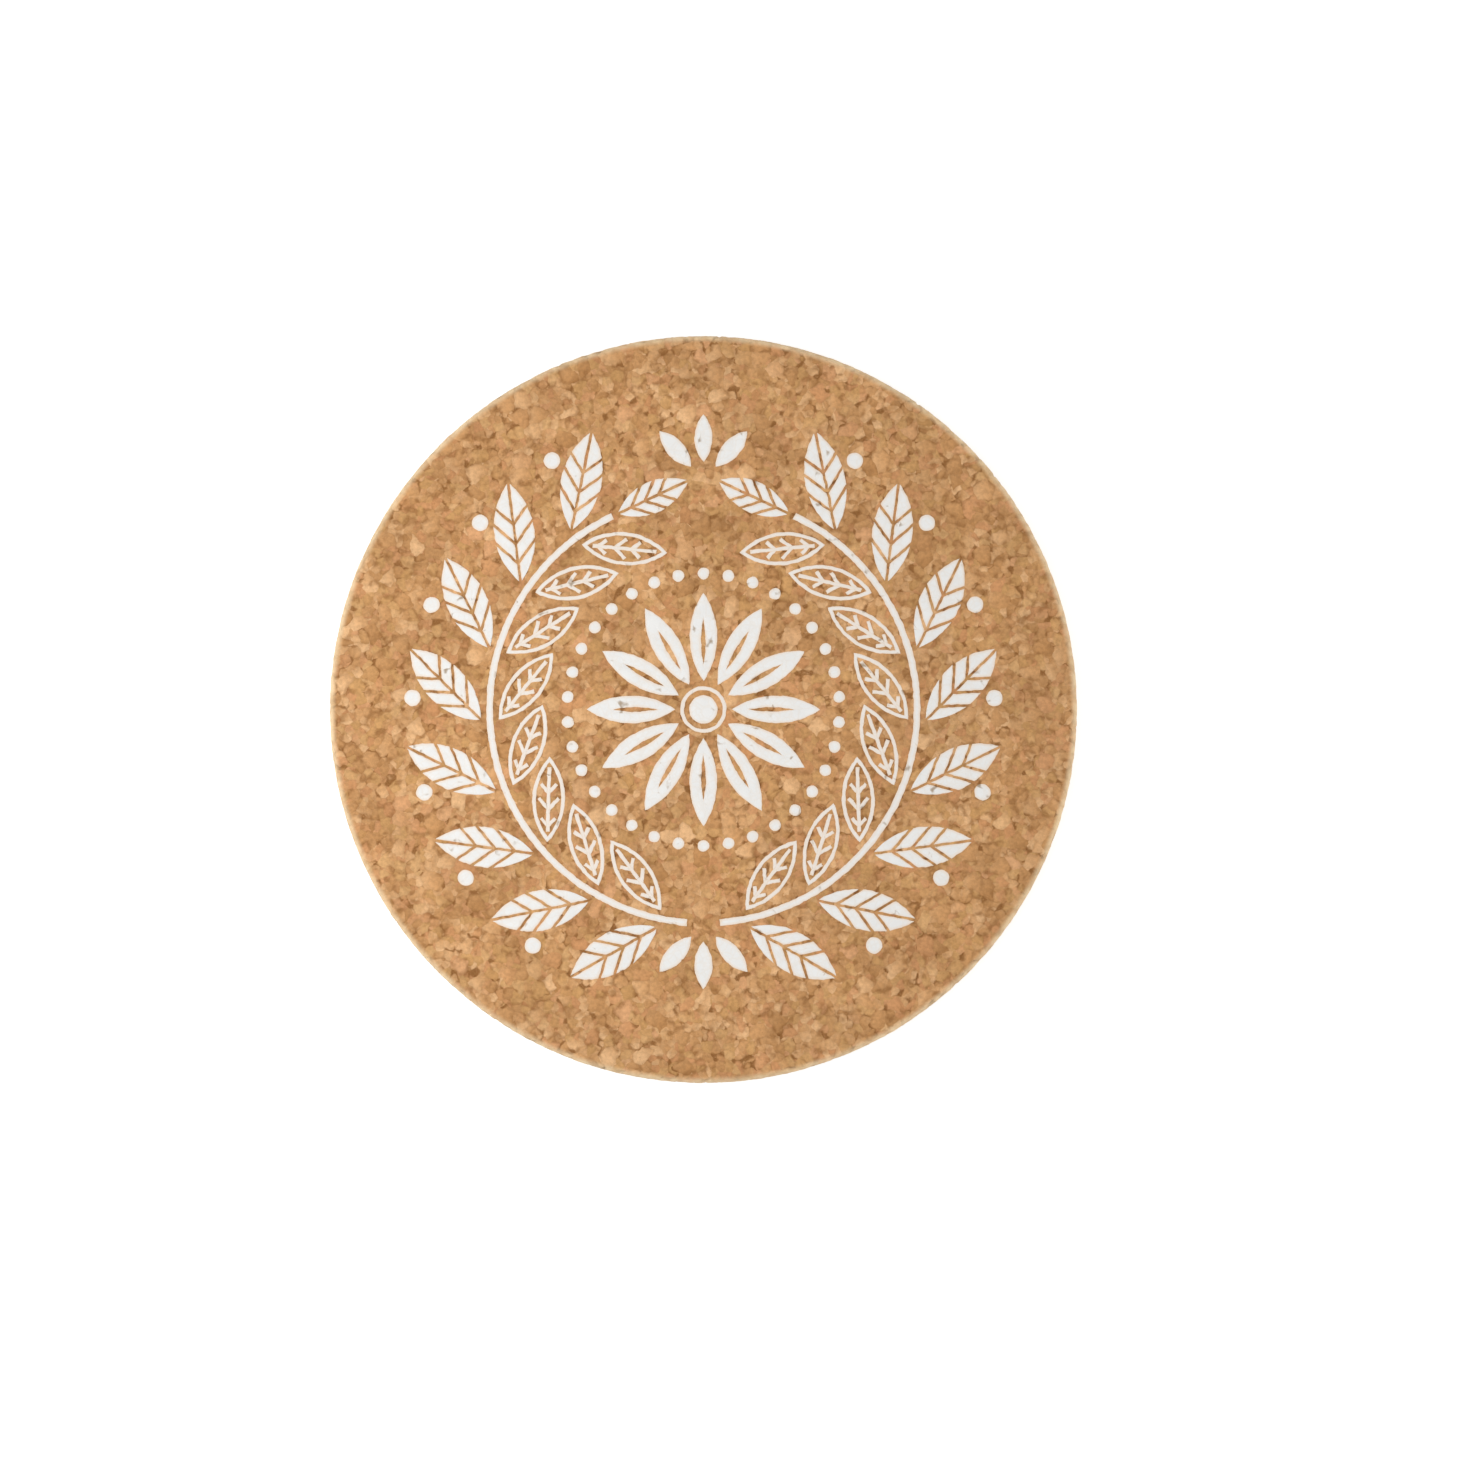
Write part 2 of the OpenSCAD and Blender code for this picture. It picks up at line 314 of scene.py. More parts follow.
class Graph:
    """Adds nodes to a tree. A value for an input is a number, a tuple or another node's output."""

    def __init__(self, tree):
        self.tree = tree

    def feed(self, socket, value):
        """Link an output to the socket, or set the socket's own value."""
        if isinstance(value, bpy.types.NodeSocket):
            self.tree.links.new(value, socket)
        elif value is not None:
            socket.default_value = value

    def add(self, kind, *values, **settings):
        """A node with these settings, its inputs fed in order. None leaves an input as it is."""
        node = self.tree.nodes.new(kind)
        for key, setting in settings.items():
            setattr(node, key, setting)
        for socket, value in zip(node.inputs, values):
            self.feed(socket, value)
        return node

    def math(self, operation, *values):
        """A number worked out from numbers."""
        return self.add("ShaderNodeMath", *values, operation=operation).outputs[0]

    def vector(self, operation, *values):
        """A vector worked out from vectors."""
        return self.add("ShaderNodeVectorMath", *values, operation=operation).outputs[0]

    def scale(self, vector, amount):
        """The vector or colour times a number."""
        return self.vector("SCALE", vector, None, None, amount)

    def centred(self, chance):
        """A vector of random numbers from 0 to 1, moved so that it lies about zero."""
        return self.vector("SUBTRACT", chance, (0.5, 0.5, 0.5))

    def parts(self, vector):
        """The three numbers of a vector or a colour."""
        return self.add("ShaderNodeSeparateXYZ", vector).outputs[:]

    def span(self, value, low, high, start=0.0, end=1.0):
        """Smooth step from start, where value is at most low, to end, where it is at least high."""
        return self.add("ShaderNodeMapRange", value, low, high, start, end,
                        interpolation_type="SMOOTHSTEP").outputs[0]

    def vary(self, noise, low, high):
        """A number that goes from low to high with soft noise."""
        return self.span(noise, NOISE_LOW, NOISE_HIGH, low, high)

    def noise(self, place, size, detail=0.0):
        """Soft noise with features of this size: a number about one half."""
        return self.add("ShaderNodeTexNoise", place, None, 1 / size, detail).outputs[0]

    def shake(self, place, size, reach):
        """The place moved by soft noise with features of this size, by up to about half of reach."""
        noise = self.add("ShaderNodeTexNoise", place, None, 1 / size, 0.0).outputs[1]
        return self.vector("ADD", place, self.scale(self.centred(noise), reach))

    def cells(self, place, size):
        """Packed cells of this size.

        Gives three random numbers of the cell, the distance to its border, the distance to its seed in
        parts of the size, which is greatest where several cells meet, and a slope across the cell,
        which is the way from the seed times a random direction and lies about zero.
        """
        inside = self.add("ShaderNodeTexVoronoi", place, None, 1 / size, feature="F1").outputs
        border = self.add("ShaderNodeTexVoronoi", place, None, 1 / size, feature="DISTANCE_TO_EDGE")
        way = self.vector("SUBTRACT", place, inside[2])
        slope = self.add("ShaderNodeVectorMath", way, self.centred(inside[1]), operation="DOT_PRODUCT")
        return SimpleNamespace(
            chance=self.parts(inside[1]),
            border=self.math("MULTIPLY", border.outputs[0], size),
            far=inside[0],
            slope=self.math("DIVIDE", slope.outputs[1], size),
        )

    def choose(self, part, first, second):
        """A number that goes from first to second."""
        return self.add("ShaderNodeMix", part, None, first, second).outputs[0]

    def mix(self, part, first, second):
        """A colour that goes from first to second."""
        node = self.add("ShaderNodeMix", part, data_type="RGBA")
        self.feed(node.inputs[6], first)
        self.feed(node.inputs[7], second)
        return node.outputs[2]

    def mottle(self, tint, noise, amount):
        """The colour made darker and lighter by soft noise, by up to this share."""
        return self.scale(tint, self.vary(noise, 1 - amount, 1 + amount))

    def ramp(self, value, first, middle, last):
        """The colour at a value that goes from 0 at the first to 1 at the last of three."""
        node = self.add("ShaderNodeValToRGB", value)
        elements = node.color_ramp.elements
        elements[0].color = first
        elements[1].color = last
        elements.new(0.5).color = middle
        return node.outputs[0]

    def surface(self, tint, fine, height, finish):
        """Give the shader a colour, a roughness that varies with fine noise, and bumps of this height."""
        bump = self.add("ShaderNodeBump")
        self.feed(bump.inputs["Strength"], finish.bump)
        self.feed(bump.inputs["Distance"], finish.bump_h)
        self.feed(bump.inputs["Height"], height)
        inputs = self.tree.nodes["Principled BSDF"].inputs
        self.feed(inputs["Base Color"], tint)
        self.feed(inputs["Roughness"], self.vary(fine, *finish.roughness))
        self.feed(inputs["Specular IOR Level"], finish.gloss)
        self.feed(inputs["Normal"], bump.outputs[0])


def linear(tint):
    """Scene-linear colour, with alpha, of a colour as it looks on a screen."""
    return (*Color(tint).from_srgb_to_scene_linear(), 1.0)


def cork_grain(graph, place, cork):
    """Nodes that give the pressed granules at a place.

    Two packings of cells lie over each other, one of whole granules and one of fragments. A random
    number of a granule says if it is crushed, and then the fragments' borders count inside it too. Soft
    noise bends the cells. Where several cells meet far from their seeds the gap between them is an open
    pit. The relief is the sum of a granule's sink and slope, its fall towards the joints and the depth
    of the pits, never above zero.
    """
    flattened = graph.vector("MULTIPLY", place, (1.0, 1.0, cork.flatness))
    bent = graph.shake(flattened, cork.granule * BEND_NOISE, cork.granule * cork.bend)
    bent = graph.shake(bent, cork.fragment * CRIMP_NOISE, cork.fragment * cork.crimp)
    whole = graph.cells(bent, cork.granule)
    broken = graph.cells(bent, cork.fragment)
    crushed = graph.math("LESS_THAN", whole.chance[0], cork.crushed)
    own_tone = graph.choose(cork.likeness, broken.chance[1], whole.chance[1])
    tone = graph.choose(crushed, whole.chance[1], own_tone)
    hue = graph.choose(crushed, whole.chance[2], broken.chance[2])
    slope = graph.choose(crushed, whole.slope, broken.slope)
    border = graph.math("MINIMUM", whole.border, graph.choose(crushed, cork.granule, broken.border))
    play = graph.vary(graph.noise(flattened, cork.fragment), cork.pit_play, -cork.pit_play)
    far = graph.math("ADD", graph.choose(crushed, whole.far, broken.far), play)
    pit = graph.span(far, cork.pit_start, cork.pit_full)
    fall = graph.span(border, 0.0, cork.crown_w, cork.crown, 0.0)
    sink = graph.math("MULTIPLY", graph.math("ADD", slope, broken.chance[0]), cork.sink)
    depth = graph.math("MULTIPLY_ADD", pit, cork.pit_depth, graph.math("ADD", fall, sink))
    relief = graph.math("MINIMUM", graph.math("MULTIPLY", depth, -1.0), 0.0)
    return SimpleNamespace(tone=tone, hue=hue, slope=slope, border=border, pit=pit, relief=relief)


def new_object(name, data):
    """An object of this data in the scene."""
    thing = bpy.data.objects.new(name, data)
    bpy.context.scene.collection.objects.link(thing)
    return thing


def new_mesh(name, points):
    """A mesh of loose points."""
    mesh = bpy.data.meshes.new(name)
    mesh.vertices.add(len(points))
    mesh.vertices.foreach_set("co", np.ascontiguousarray(points, np.float32).ravel())
    return mesh


def read_grain(points):
    """The cork's relief at these points, and the points moved astray by soft noise.

    A throwaway mesh of the points carries a node tree with the same granules that colour the cork.
    """
    cork = bpy.context.scene.coaster_cork
    ink = bpy.context.scene.coaster_ink
    tree = bpy.data.node_groups.new("grain_probe", "GeometryNodeTree")
    tree.interface.new_socket("Points", in_out="INPUT", socket_type="NodeSocketGeometry")
    tree.interface.new_socket("Points", in_out="OUTPUT", socket_type="NodeSocketGeometry")
    graph = Graph(tree)
    place = graph.add("GeometryNodeInputPosition").outputs[0]
    strayed = graph.shake(place, cork.fragment * STRAY_NOISE, ink.wander * 2)
    strayed = graph.shake(strayed, cork.fragment * TREMBLE_NOISE, ink.wander)
    relief = cork_grain(graph, place, cork).relief
    flow = graph.add("NodeGroupInput").outputs[0]
    for name, kind, found in (("relief", "FLOAT", relief), ("strayed", "FLOAT_VECTOR", strayed)):
        store = graph.add("GeometryNodeStoreNamedAttribute", flow, None, name, data_type=kind)
        graph.feed(store.inputs["Value"], found)
        flow = store.outputs[0]
    graph.add("NodeGroupOutput", flow)

    mesh = new_mesh("grain_probe", points)
    probe = new_object("grain_probe", mesh)
    probe.modifiers.new("grain_probe", "NODES").node_group = tree
    shown = probe.evaluated_get(bpy.context.evaluated_depsgraph_get()).data
    heights = np.empty(len(points), np.float32)
    shown.attributes["relief"].data.foreach_get("value", heights)
    places = np.empty(len(points) * 3, np.float32)
    shown.attributes["strayed"].data.foreach_get("vector", places)
    bpy.data.objects.remove(probe)
    bpy.data.meshes.remove(mesh)
    bpy.data.node_groups.remove(tree)
    return heights.astype(float), places.reshape(-1, 3).astype(float)


def new_piece(name, points, faces, material, node):
    """A smooth mesh object of these points and lists of faces, which stands for a CAD node."""
    mesh = new_mesh(name, points)
    corners = np.concatenate([group.ravel() for group in faces])
    sizes = np.concatenate([np.full(len(group), group.shape[1]) for group in faces])
    starts = np.concatenate([[0], np.cumsum(sizes)[:-1]])
    mesh.loops.add(len(corners))
    mesh.loops.foreach_set("vertex_index", corners.astype(np.int32))
    mesh.polygons.add(len(sizes))
    mesh.polygons.foreach_set("loop_start", starts.astype(np.int32))
    mesh.update(calc_edges=True)
    mesh.shade_smooth()
    mesh.materials.append(material)
    piece = new_object(name, mesh)
    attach(piece, BODY)
    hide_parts(node)
    return piece


def directions(turn):
    """Unit vectors in the XY plane at these angles: cosine and sine."""
    return np.stack([np.cos(turn), np.sin(turn)], -1)


def grid_faces(rows, columns):
    """Quads of a grid of points that is stored row by row, as corner numbers."""
    first = (np.arange(rows - 1)[:, None] * columns + np.arange(columns - 1)).ravel()
    return np.column_stack([first, first + columns, first + columns + 1, first + 1])


def grid_rim(rows, columns):
    """Numbers of the points round a grid that is stored row by row, in the turning sense of its quads."""
    return np.concatenate([
        np.arange(rows - 1) * columns,
        (rows - 1) * columns + np.arange(columns - 1),
        np.arange(rows - 1, 0, -1) * columns + columns - 1,
        np.arange(columns - 1, 0, -1),
    ])


def ring_grid(rings):
    """Square grid bent into rings: the ring number and the angle of each point.

    A point's ring is the larger of its two distances from the middle, in cells. Its angle turns evenly
    along the ring, so every ring has eight points more than the one inside it, and no pole.
    """
    step = np.arange(-rings, rings + 1)
    across, up = np.meshgrid(step, step, indexing="ij")
    wide = np.abs(across) >= np.abs(up)
    far = np.where(wide, across, up)
    near = np.where(wide, up, across)
    lean = math.pi / 4 * near / np.where(far == 0, 1, far)
    turn = np.where(wide, lean, math.pi / 2 - lean) + np.where(far < 0, math.pi, 0)
    return np.abs(far), turn


def edge_profile(rings, edge_round, edge_rings, wall, wall_rings):
    """Radius, depth under the face and lean of the surface at each ring of one half of the disc.

    Even steps cross the flat face, a quarter circle of edge_round turns over the edge, and even steps
    go down the wall. The lean is the angle between the surface's normal and the axis.
    """
    flat_r = DISC_R - edge_round
    turn = np.linspace(0, math.pi / 2, edge_rings + 1)[1:]
    flat = np.linspace(0, flat_r, rings - edge_rings - wall_rings + 1)
    down = np.linspace(0, wall, wall_rings + 1)[1:]
    radius = np.concatenate([flat, flat_r + edge_round * np.sin(turn), np.full(wall_rings, DISC_R)])
    depth = np.concatenate([0 * flat, edge_round * (1 - np.cos(turn)), edge_round + down])
    lean = np.concatenate([0 * flat, turn, np.full(wall_rings, math.pi / 2)])
    return radius, depth, lean


def half_disc(rings, profile, face_z, up):
    """Points, normals and map places of the upper half of the disc, or of the lower one where up is -1.

    The places on the map are round about zero, as far out as the surface runs from the axis.
    """
    ring, turn = ring_grid(rings)
    line = np.column_stack(profile[:2])
    run = np.concatenate([[0], np.cumsum(np.hypot(*np.diff(line, axis=0).T))])
    radius, depth, lean, run = (values[ring].ravel() for values in (*profile, run))
    outward = directions(turn.ravel())
    points = np.column_stack([radius[:, None] * outward, face_z - up * depth])
    normals = np.column_stack([np.sin(lean)[:, None] * outward, up * np.cos(lean)])
    return points, normals, run[:, None] * outward * (1, up)


def belt_faces(top_side, bottom_side):
    """Triangles from the rim of the upper half to that of the lower one, which has half as many points.

    Each step along the lower rim takes three triangles to two steps along the upper one.
    """
    top_rim = grid_rim(top_side, top_side)
    bottom_rim = grid_rim(bottom_side, bottom_side) + top_side**2
    before, between, after = top_rim[::2], top_rim[1::2], np.roll(top_rim, -2)[::2]
    bottom_after = np.roll(bottom_rim, -1)
    return np.concatenate([
        np.column_stack([before, bottom_rim, between]),
        np.column_stack([between, bottom_rim, bottom_after]),
        np.column_stack([between, bottom_after, after]),
    ])


def lay_map(mesh, places, top_count, belt, belt_w):
    """Lay the disc out on its map as two round islands.

    One is the upper half with the wall's belt about it, the other the lower half. The belt's faces come
    last in the mesh.
    """
    corners = np.empty(len(mesh.loops), np.int32)
    mesh.loops.foreach_get("vertex_index", corners)
    run = np.linalg.norm(places, axis=1)
    top_run = run[:top_count].max() + belt_w
    low_run = run[top_count:].max()
    top = (np.arange(len(places)) < top_count)[:, None]
    top_place = places / top_run * TOP_ISLAND + TOP_ISLAND + MAP_MARGIN
    low_place = places / low_run * BOTTOM_ISLAND + 1 - BOTTOM_ISLAND - MAP_MARGIN
    spots = np.where(top, top_place, low_place)[corners]
    # In the belt the lower half's rim lies on the rim of the upper half's island
    rim = places * (1, -1) / low_run * TOP_ISLAND + TOP_ISLAND + MAP_MARGIN
    around = belt.ravel()
    spots[-len(around):] = np.where(top, top_place, rim)[around]
    layer = mesh.uv_layers.new(name=MAP_NAME)
    layer.data.foreach_set("uv", spots.astype(np.float32).ravel())


def granule_colour(graph, place, fine, grain, cork):
    """Colour of the granules: a tone, a hue and soft noise, with painted shade along each granule's slope
    and towards its borders.
    """
    # Painted shade: lighter or darker along the granule's slope, as a tilted granule would be lit
    tone = graph.math("SUBTRACT", grain.tone, graph.math("MULTIPLY", grain.slope, cork.tilt))
    tint = graph.ramp(tone, linear(cork.dark), linear(cork.middle), linear(cork.light))
    tint = graph.mix(graph.span(grain.hue, *RED_HUES, 0.0, cork.tinge), tint, linear(cork.red))
    tint = graph.mix(graph.span(grain.hue, *OLIVE_HUES, cork.tinge, 0.0), tint, linear(cork.olive))
    tint = graph.mottle(tint, fine, cork.speckle)
    tint = graph.mottle(tint, graph.noise(place, cork.fragment * BLOTCH_NOISE, detail=2.0), cork.blotch)
    tint = graph.mottle(tint, graph.noise(place, cork.granule * CLOUD_NOISE), cork.cloud)
    # Painted shade: darker beside the joints, lighter in the middle of each granule
    pillow_shade = graph.span(grain.border, 0.0, cork.shade_w, cork.shade_low, cork.shade_high)
    return graph.scale(tint, pillow_shade)


def dark_joints_and_shade(graph, tint, place, fine, beside, grain, cork):
    """The granules' colour, darkened by pores and thin lines along the joints, and turned to the gaps' dark
    colour beside joints and in pits: partly dark binder, partly painted shade in those recesses.
    """
    tint = graph.mix(graph.span(fine, *PORE_RANGE, 0.0, cork.pores), tint, linear(cork.pit))
    joint_dark_noise = graph.noise(place, cork.fragment * JOINT_DARK_NOISE)
    line = graph.vary(joint_dark_noise, 1 - cork.line_low, 1 - cork.line_high)
    tint = graph.scale(tint, graph.choose(beside, line, 1.0))
    # Partly the dark binder of joints and pits, partly painted shade where the granules fall away into them
    near_joint = graph.span(grain.border, 0.0, cork.joint_w, 1.0, 0.0)
    dark_and_shaded = graph.span(joint_dark_noise, *JOINT_SHADE_RANGE, cork.joint_low, cork.joint_high)
    gap_binder_and_shade = graph.math("MAXIMUM", grain.pit, graph.math("MULTIPLY", near_joint, dark_and_shaded))
    gap_binder_and_shade = graph.math("MULTIPLY", gap_binder_and_shade, graph.vary(fine, GAP_SHADE_LEAST, 1.0))
    return graph.mix(gap_binder_and_shade, tint, linear(cork.pit))


def cut_edge_and_painted_light(graph, tint, place, cork):
    """The cork's colour, paler over the eased upper edge and a little down the wall, with patchy noise:
    partly paler cut cork, partly painted light.
    """
    across, up, height = graph.parts(place)
    square = graph.math("MULTIPLY_ADD", across, across, graph.math("MULTIPLY", up, up))
    start, full = (DISC_R - cork.top_round * part for part in PALE_ACROSS)
    # Painted light: the eased edge is paler than cut cork alone, so it stays bright where it turns from the
    # lamps
    pale = graph.span(graph.math("SQRT", square), start, full, 0.0, cork.pale)
    faded, fade = (DISC_T - cork.top_round * part for part in PALE_DOWN)
    kept = graph.span(height, faded, fade, cork.pale_wall, 1.0)
    patchy = graph.vary(graph.noise(place, cork.fragment, detail=1.0), 1 - cork.pale_loss, 1.0)
    pale = graph.math("MULTIPLY", graph.math("MULTIPLY", pale, kept), patchy)
    return graph.mix(pale, tint, linear(cork.cut))


def cork_material(cork):
    """Pressed cork: granules of many browns, dark open joints, and a paler edge where it was cut, with
    painted shade on granules and joints and painted light on the edge.
    """
    material = bpy.data.materials.new("pressed_cork")
    material.use_nodes = True
    graph = Graph(material.node_tree)
    place = graph.add("ShaderNodeTexCoord").outputs["Object"]
    grain = cork_grain(graph, place, cork)
    fine = graph.noise(place, cork.fragment * FINE_NOISE, detail=2.0)
    beside = graph.span(grain.border, 0.0, cork.line_w)
    tint = granule_colour(graph, place, fine, grain, cork)
    tint = dark_joints_and_shade(graph, tint, place, fine, beside, grain, cork)
    tint = cut_edge_and_painted_light(graph, tint, place, cork)
    graph.surface(tint, fine, graph.math("MULTIPLY_ADD", beside, cork.crease, fine), CORK_FINISH)
    return material


def ink_material(cork, ink):
    """Matte white ink: faint clouds, thin over joints and at its edges, with pinholes over open pits."""
    material = bpy.data.materials.get("matte_print")
    if material:
        return material
    material = bpy.data.materials.new("matte_print")
    material.use_nodes = True
    graph = Graph(material.node_tree)
    place = graph.add("ShaderNodeTexCoord").outputs["Object"]
    grain = cork_grain(graph, place, cork)
    from_edge = graph.add("ShaderNodeAttribute", attribute_name="from_edge").outputs["Fac"]
    cloud = graph.noise(place, cork.granule, detail=2.0)
    fine = graph.noise(place, cork.fragment * INK_NOISE, detail=1.0)

    tint = graph.mottle(linear(ink.white)[:3], cloud, ink.cloud)
    cream = graph.span(from_edge, 0.0, ink.cream_w, ink.cream_part, 0.0)
    tint = graph.mix(cream, tint, linear(ink.cream))
    thin = graph.span(grain.border, 0.0, ink.thin_w, ink.thin_part, 0.0)
    ragged = graph.math("SUBTRACT", from_edge, graph.math("MULTIPLY", fine, ink.rag))
    ragged = graph.span(ragged, -ink.rag / 2, 0.0, ink.rag_part, 0.0)
    tint = graph.mix(graph.math("MAXIMUM", thin, ragged), tint, linear(ink.thin))
    pinhole = graph.math("MULTIPLY", grain.pit, graph.span(cloud, *PINHOLE_RANGE))
    tint = graph.mix(pinhole, tint, linear(ink.speck))
    graph.surface(tint, fine, fine, INK_FINISH)
    return material


def from_ends(patches, axis):
    """How far each place of the patches is from the nearer end of its line along this axis."""
    lengths = np.linalg.norm(np.diff(patches, axis=axis), axis=-1)
    before = [(0, 0)] * lengths.ndim
    before[axis] = (1, 0)
    run = np.pad(lengths.cumsum(axis), before)
    return np.minimum(run, run.max(axis, keepdims=True) - run)


def shell_faces(count, rows, columns, loop):
    """Faces of so many closed shells: a grid on top, the same grid turned over below, and walls between.

    The points of all upper grids come first, then those of the lower ones. In a loop the last row of a
    grid joins the first.
    """
    if loop:
        start = np.arange(rows)[:, None] * columns
        after = np.roll(start, -1, axis=0)
        step = np.arange(columns - 1)
        quads = np.stack([start + step, after + step, after + step + 1, start + step + 1], -1)
        rims = [start.ravel(), (start + columns - 1).ravel()[::-1]]
    else:
        quads = grid_faces(rows, columns)
        rims = [grid_rim(rows, columns)]
    size = rows * columns
    lower = count * size
    offsets = np.arange(count)[:, None, None] * size
    upper_faces = (quads.reshape(-1, 4) + offsets).reshape(-1, 4)
    faces = [upper_faces, upper_faces[:, ::-1] + lower]
    for rim in rims:
        after = np.roll(rim, -1)
        wall = np.column_stack([rim, rim + lower, after + lower, after])
        faces.append((wall + offsets).reshape(-1, 4))
    return faces


def film(node, patches, loop=False):
    """A film of ink over flat patches of the upper face, as one piece that stands for a CAD node.

    patches holds grids of places, patch by row by column by X and Y, which are turned over where they
    face down. The edges stray a little. The top follows the cork's relief, softened, and falls to a
    thin edge, and the underside lies just below the cork's surface.
    """
    cork = bpy.context.scene.coaster_cork
    ink = bpy.context.scene.coaster_ink
    along = np.diff(patches, axis=1)[:, :, :-1]
    across = np.diff(patches, axis=2)[:, :-1]
    turn = (along[..., 0] * across[..., 1] - along[..., 1] * across[..., 0]).sum((1, 2))
    patches = np.where(turn[:, None, None, None] < 0, patches[:, :, ::-1], patches)
    count, rows, columns = patches.shape[:3]
    from_edge = from_ends(patches, 2)
    if not loop:
        from_edge = np.minimum(from_edge, from_ends(patches, 1))
    from_edge = from_edge.ravel()
    inside = from_edge > 0

    flat = np.column_stack([patches.reshape(-1, 2), np.full(count * rows * columns, DISC_T)])
    upper = read_grain(flat)[1]
    upper[:, 2] = DISC_T
    relief = read_grain(upper)[0]
    thickness = np.where(inside, INK_T, ink.edge_t)
    top = DISC_T + np.maximum(relief * ink.drape, -INK_T * ink.dip) + thickness
    lower = upper.copy()
    lower[:, 2] = np.minimum(DISC_T + relief - ink.edge_t, top - ink.edge_t)
    upper[:, 2] = np.where(inside, top, np.maximum(top, lower[:, 2] + ink.edge_t))

    points = np.concatenate([upper, lower])
    faces = shell_faces(count, rows, columns, loop)
    piece = new_piece(f"{node}.film", points, faces, ink_material(cork, ink), node)
    mark = piece.data.attributes.new("from_edge", "FLOAT", "POINT")
    mark.data.foreach_set("value", np.tile(from_edge, 2).astype(np.float32))
    piece.data.set_sharp_from_angle(angle=ink.sharp)


def print_plan():
    """Radii and angles of the printed marks, worked out from the print's sizes.

    The stems are arcs from which the outer leaves just reach the print's border. Leaves stand along
    them in pairs, as many as leave a gap between outer leaves, between inner leaves, and between an
    inner leaf's tip and its neighbour. Petals are as wide as leaves a gap between them at each station.
    """
    sizes = bpy.context.scene.coaster_print
    plan = SimpleNamespace(sizes=sizes)
    print_r = DISC_R - sizes.bare_border
    standoff = sizes.stem_w / 2 + sizes.mark_gap
    rise = sizes.solid_leaf_len * math.sin(sizes.leaf_tilt)
    run = sizes.solid_leaf_len * math.cos(sizes.leaf_tilt)
    plan.stem_r = math.sqrt(print_r**2 - run**2) - rise - standoff
    plan.outer_foot_r = plan.stem_r + standoff
    plan.inner_foot_r = plan.stem_r - standoff
    wreath_inner_r = plan.inner_foot_r - sizes.outline_leaf_len * math.sin(sizes.leaf_tilt)
    tip_run = sizes.mark_gap + sizes.tip_leaf_len
    plan.tip_r = math.hypot(plan.stem_r, tip_run)
    plan.stem_start = math.asin(sizes.foot_gap / 2 / plan.stem_r) - math.pi / 2
    plan.stem_end = math.acos(sizes.tip_gap / 2 / plan.tip_r) - math.atan(tip_run / plan.stem_r)
    sweep = plan.stem_end - plan.stem_start

    axis_r = plan.inner_foot_r * math.cos(sizes.leaf_tilt)
    axis_left = plan.inner_foot_r * math.sin(sizes.leaf_tilt) - sizes.outline_leaf_len
    tip_room = sizes.outline_leaf_w / 2 + sizes.mark_gap
    pitch = max(
        (sizes.solid_leaf_w + sizes.mark_gap) / (plan.outer_foot_r * math.sin(sizes.leaf_tilt)),
        (sizes.outline_leaf_w + 2 * sizes.mark_gap) / (plan.inner_foot_r * math.sin(sizes.leaf_tilt)),
        (math.sqrt(axis_left**2 + 2 * axis_r * tip_room) - axis_left) / axis_r,
    )
    pairs = math.floor(sweep / pitch)
    pitch = sweep / pairs
    plan.leaf_angles = plan.stem_start + (np.arange(pairs) + sizes.first_pair) * pitch
    plan.berry_r = print_r - sizes.berry_d / 2
    plan.berry_angles = plan.leaf_angles[:-1] + math.atan(run / (plan.outer_foot_r + rise)) + pitch / 2

    plan.bead_r = wreath_inner_r - sizes.mark_gap - sizes.bead_d / 2
    beads = math.floor(2 * math.pi * plan.bead_r / (sizes.bead_d + sizes.bead_gap))
    plan.bead_angles = math.pi / 2 + np.arange(beads) * 2 * math.pi / beads
    plan.eye_ring_r = sizes.eye_d / 2 + sizes.mark_gap
    plan.petal_foot_r = plan.eye_ring_r + sizes.line_w + sizes.mark_gap
    plan.petal_len = plan.bead_r - sizes.bead_d / 2 - sizes.petal_margin - plan.petal_foot_r
    radii = plan.petal_foot_r + plan.petal_len * PETAL_STATIONS
    room = 2 * math.sin(math.pi / sizes.petals) * radii - sizes.mark_gap
    plan.petal_w = float((room / (4 * PETAL_STATIONS * (1 - PETAL_STATIONS))).min())
    plan.petal_angles = np.arange(sizes.petals) * 2 * math.pi / sizes.petals
    return plan


def steps(size):
    """How many mesh cells a length takes."""
    return max(2, round(size / bpy.context.scene.coaster_ink.grid))


def placed(patches, radius, angles, turn, both=False):
    """Copies of flat patches, set at a radius and these angles, and turned by each angle and a further turn.

    If both is set, their mirror images about the YZ plane come after them.
    """
    angles = np.atleast_1d(angles)[:, None, None, None]
    cos = np.cos(angles + turn)
    sin = np.sin(angles + turn)
    x, y = patches[..., 0], patches[..., 1]
    copies = np.stack([x * cos - y * sin, x * sin + y * cos], -1) + radius * directions(angles)
    copies = copies.reshape(-1, *patches.shape[1:])
    return np.concatenate([copies, copies * (-1, 1)]) if both else copies


def arc_radius(long, wide):
    """Radius of the two arcs that bound a pointed oval, from its length and its width."""
    return (long**2 + wide**2) / (4 * wide)


